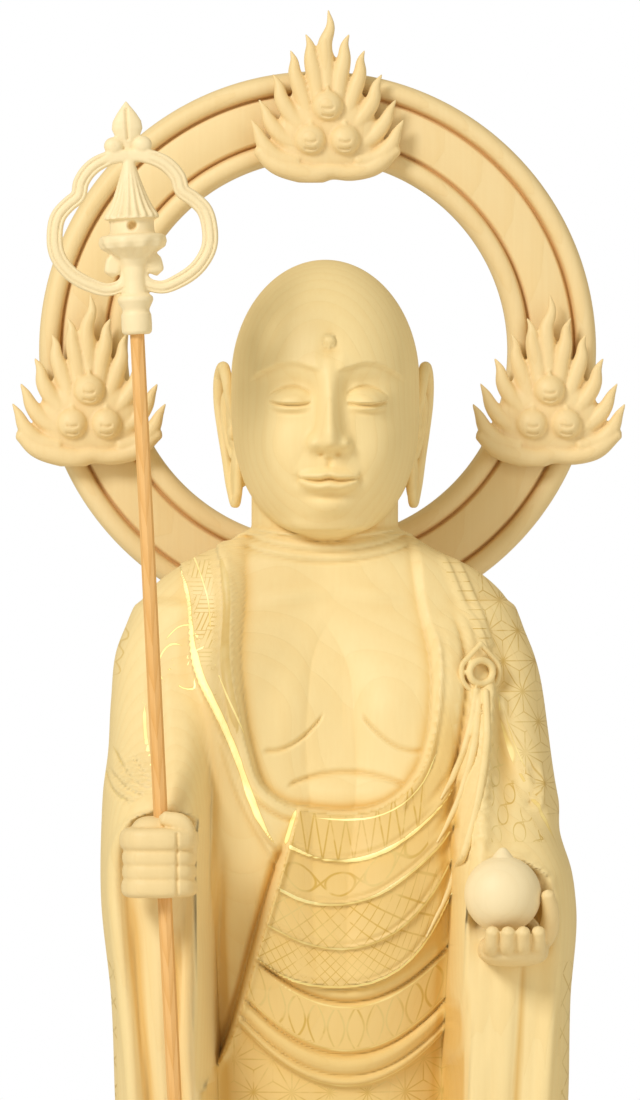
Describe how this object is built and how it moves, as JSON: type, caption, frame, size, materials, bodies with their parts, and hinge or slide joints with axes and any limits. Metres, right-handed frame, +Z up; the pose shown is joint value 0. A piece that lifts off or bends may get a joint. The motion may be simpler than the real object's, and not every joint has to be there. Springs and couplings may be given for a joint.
{
  "type": "wooden jizo statue",
  "caption": "Standing carved wooden figure in monk's robes with a ring staff, a round jewel on its palm and a flaming ring halo, on a low lotus base.",
  "frame": {"origin": "middle of the base's flat underside", "axes": "+Z up, the figure faces -Y, its jewel hand is on the +X side and its staff on the -X side"},
  "size_m": [0.104, 0.104, 0.3089],
  "materials": {
    "figure_wood": "carved pale conifer wood with fine cut-gold line patterns",
    "hand_wood": "fine carved pale wood",
    "halo_wood": "fine carved and turned pale wood",
    "staff_wood": "planed reddish wood",
    "base_wood": "carved pale conifer wood"
  },
  "bodies": {
    "root": {"figure": "figure_wood", "right_hand": "hand_wood", "left_hand": "hand_wood", "jewel": "halo_wood", "staff_shaft": "staff_wood", "staff_head": "halo_wood", "halo_ring": "halo_wood", "halo_flame_top": "halo_wood", "halo_flame_left": "halo_wood", "halo_flame_right": "halo_wood", "halo_post": "base_wood", "base": "base_wood"}
  },
  "joints": []
}
